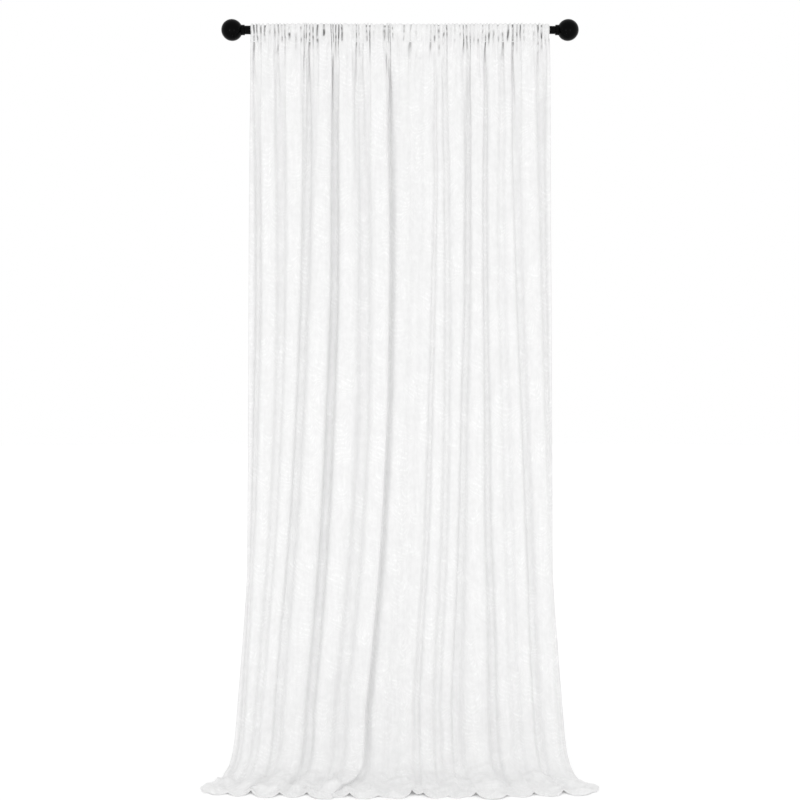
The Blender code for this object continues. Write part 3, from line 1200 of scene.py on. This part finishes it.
def ballFace(radius, gap=0.0):
    # how far along the rod the inner half of the ball is, at this distance from the axis
    return ballCentre - math.sqrt((ballRadius + gap) ** 2 - radius**2)


def distances(box):
    # how far from the rod's middle a box starts and ends
    return sorted((abs(box[0][0]), abs(box[1][0])))


def endInsert(name, side, body):
    node = "end_insert_" + name
    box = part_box(node)
    start, end = distances(box)
    wide = box[1][2]
    hole = finial["stud"] + finial["threadRoom"]
    sink = insertShape["countersink"]
    edge = insertShape["edge"]
    section = [
        (start, hole), (end - sink, hole), (end, hole + sink), (end, wide - edge),
        (end - edge, wide), (start + edge, wide), (start, wide - edge),
    ]
    turned(name + "EndInsert", section, "zinc", "zinc", body, node, side=side)


def collar(name, side, body):
    # a rounded rim towards the rod, a slight waist, and a dish that the ball sits in
    node = "finial_" + name + "_collar"
    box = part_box(node)
    low = distances(box)[0]
    wide = box[1][2]
    hole = finial["stud"] + finial["threadRoom"]
    rim = finial["rim"]
    top = ballFace(wide, finial["collarGap"])
    section = [(low, hole), (low, wide - rim)]
    for angle in quarter(finial["rimSteps"])[1:]:
        section.append((low + rim - rim * math.cos(angle), wide - rim + rim * math.sin(angle)))
    share, waist = finial["collarWaist"]
    section.append((low + (top - low) * share, wide - waist))
    section += [(top - short, wide - inset) for short, inset in finial["collarEdge"]]
    for radius in np.linspace(wide - finial["dishEdge"], hole, finial["dishSteps"]):
        section.append((ballFace(radius, finial["dishGap"]), radius))
    turned(name + "Collar", section, "finial", "finial_finish", body, node, side=side)


def ball(name, side, body):
    bore = finial["stud"] + finial["threadRoom"]
    first = math.asin(bore / ballRadius)
    deep = ballFace(bore) + finial["studHole"]
    steps = finial["ballSteps"]
    section = [(deep, 0), (deep, bore)]
    for angle in (first + (math.pi - first) * k / steps for k in range(steps)):
        section.append((ballCentre - ballRadius * math.cos(angle), ballRadius * math.sin(angle)))
    section.append((ballCentre + ballRadius, 0))
    node = "finial_" + name + "_ball"
    turned(name + "Ball", section, "finial", "finial_finish", body, node, side=side, closed=False)


# a turn of the thread: how far along its pitch, and whether it is at the crest
threadShape = [(0, False), (0.1, False), (0.45, True), (0.62, True), (1, False)]
studPlug = dict(inset=0.7, depth=1.3, taper=0.8, segments=24)


def threadedStud(name, side, body):
    # one turn's V section swept along a helix, with a tapered plug in each end
    node = "finial_" + name + "_stud"
    start, end = distances(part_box(node))
    pitch = finial["pitch"]
    crest = finial["stud"] - finial["crestRoom"]
    root = crest - finial["threadDepth"]
    count = int((end - start - 2 * pitch) / pitch)
    bm = bmesh.new()
    corners = []
    for along, high in threadShape:
        x = start + pitch / 2 + pitch * along
        corners.append(bm.verts.new((x * side, 0, crest if high else root)))
    for first, second in zip(corners, corners[1:]):
        bm.edges.new((first, second))
    steps = finial["threadSteps"]
    bmesh.ops.spin(
        bm, geom=bm.verts[:] + bm.edges[:], cent=(0, 0, 0), axis=(1, 0, 0), angle=2 * math.pi * count,
        steps=steps * count, dvec=(pitch / steps * side, 0, 0), use_merge=False,
    )
    bmesh.ops.remove_doubles(bm, verts=bm.verts, dist=turning["weld"] * 2)
    bmesh.ops.holes_fill(bm, edges=[edge for edge in bm.edges if edge.is_boundary], sides=0)
    inset = pitch * studPlug["inset"]
    for place, way in ((start + inset, -side), (end - inset, side)):
        bmesh.ops.create_cone(
            bm, cap_ends=True, segments=studPlug["segments"],
            radius1=root, radius2=root * studPlug["taper"], depth=pitch * studPlug["depth"],
            matrix=Matrix.Translation((place * side, 0, 0)) @ Matrix.Rotation(math.pi / 2 * way, 4, "Y"),
        )
    finished(bm, name + "Stud", "zinc", "zinc", body, node)


rodPieces()
for name, side, endBody in (("left", -1, "rod"), ("right", 1, "rod_extension")):
    endInsert(name, side, endBody)
    collar(name, side, name + "_collar")
    ball(name, side, name + "_finial")
    threadedStud(name, side, name + "_finial")
print("rod and finials turned")


# Each cloth piece and its stitching get their own copy of their mesh

def drawn(piece):
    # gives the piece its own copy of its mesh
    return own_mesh(piece)


for piece in (clothPanel, pocketCloth, hemLeft, hemBottom, label):
    drawn(piece)
for name in ("Pocket", "Left", "Bottom"):
    drawn(stitches[name])
for piece in (hemRight, stitches["Right"]):
    drawn(piece)


# Studio

lighting = dict(
    world=1.0,
    floorGlow=0.10,
    aim=(0, 0, -1.5),
    size=0.7,
    lamps=[("keyPanel", (-1.8, -3.8, -1.3), 11.5), ("fillPanel", (1.7, -3.8, -1.3), 9.0)],
)
view = dict(lens=60, sensor=36, place=(0, -4.0, -1.11))
floorRadius = 30


def studio():
    floor = bpy.data.meshes.new("studioFloor")
    bm = bmesh.new()
    bmesh.ops.create_circle(bm, cap_ends=True, segments=96, radius=floorRadius)
    bmesh.ops.translate(bm, verts=bm.verts, vec=(0, 0, floorZ))
    bm.to_mesh(floor)
    bm.free()
    ground = bpy.data.objects.new("studioFloor", floor)
    bpy.context.scene.collection.objects.link(ground)
    pale = Finish("palePaper", (0.93, 0.93, 0.93), Roughness=0.9)
    pale.shader.inputs["Emission Color"].default_value = (1, 1, 1, 1)
    pale.shader.inputs["Emission Strength"].default_value = lighting["floorGlow"]
    floor.materials.append(pale.material)

    world = bpy.data.worlds.new("softStudio")
    world.use_nodes = True
    background = world.node_tree.nodes["Background"]
    background.inputs["Color"].default_value = (1, 1, 1, 1)
    background.inputs["Strength"].default_value = lighting["world"]
    bpy.context.scene.world = world

    for name, place, power in lighting["lamps"]:
        lamp = bpy.data.lights.new(name, "AREA")
        lamp.energy = power
        lamp.size = lighting["size"]
        holder = bpy.data.objects.new(name, lamp)
        holder.location = place
        aim = Vector(lighting["aim"]) - Vector(place)
        holder.rotation_euler = aim.to_track_quat("-Z", "Y").to_euler()
        bpy.context.scene.collection.objects.link(holder)

    lens = bpy.data.cameras.new("camera")
    lens.lens = view["lens"]
    lens.sensor_width = view["sensor"]
    camera = bpy.data.objects.new("camera", lens)
    camera.location = view["place"]
    camera.rotation_euler = (math.pi / 2, 0, 0)
    bpy.context.scene.collection.objects.link(camera)
    bpy.context.scene.camera = camera
    bpy.context.scene.view_settings.view_transform = "Standard"


studio()
print("studio set")
